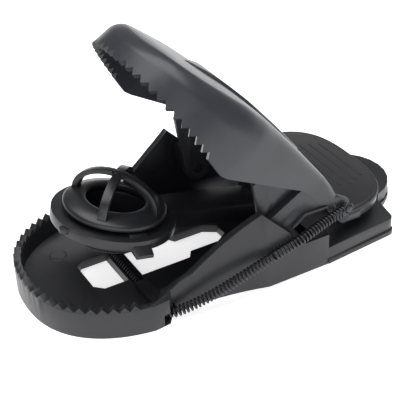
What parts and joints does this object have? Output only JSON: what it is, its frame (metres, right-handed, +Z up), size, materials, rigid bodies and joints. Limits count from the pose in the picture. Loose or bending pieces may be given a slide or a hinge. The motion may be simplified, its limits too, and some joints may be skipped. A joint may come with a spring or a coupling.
{
  "type": "snap mouse trap",
  "caption": "Clamshell mouse trap with a toothed jaw on side pins, a foot pedal, a caged bait cup on a trigger arm and an extension spring round the tray.",
  "frame": {"origin": "centre of the bounding box's footprint, on the floor the tray stands on", "axes": "+X across the trap, -Y towards the toothed mouth, +Z up"},
  "size_m": [0.0522, 0.0992, 0.0584],
  "materials": {
    "tray_black": "fine satin moulding",
    "jaw_black": "satin moulding",
    "pedal_black": "matt moulding",
    "trigger_black": "satin moulding",
    "pin_black": "moulded trunnion",
    "pin_steel": "plain drawn wire",
    "spring_steel": "black oiled spring wire"
  },
  "bodies": {
    "tray": {"tray": "tray_black", "rear_plate": "tray_black", "hinge_pin_left": "pin_black", "hinge_pin_right": "pin_black", "trigger_pin": "pin_steel", "spring_cross": "spring_steel", "spring_left": "spring_steel", "spring_right": "spring_steel"},
    "jaw": {"jaw": "jaw_black", "pedal_tread": "pedal_black", "spring_eye_left": "spring_steel", "spring_eye_right": "spring_steel"},
    "trigger": {"trigger": "trigger_black"},
    "bait_holder": {"bait_cup": "trigger_black", "bait_cap": "trigger_black", "bait_cage": "trigger_black"}
  },
  "joints": [
    {"name": "jaw_swing", "type": "hinge", "parent": "tray", "child": "jaw", "pos_m": [0, 0.00547, 0.0094], "axis": [1, 0, 0], "range_deg": [-2, 60.5], "deforming": ["spring_left", "spring_right"]},
    {"name": "trigger_tilt", "type": "hinge", "parent": "tray", "child": "trigger", "pos_m": [0, 0.01337, 0.0071], "axis": [1, 0, 0], "range_deg": [-1, 11.6]},
    {"name": "bait_twist", "type": "hinge", "parent": "trigger", "child": "bait_holder", "pos_m": [0, -0.02638, 0.01628], "axis": [0, 0.225, 0.9744], "range_deg": [0, 30]}
  ],
  "couplings": [
    {"joint": "trigger_tilt", "follows": "jaw_swing", "ratio": 0.19008}
  ]
}
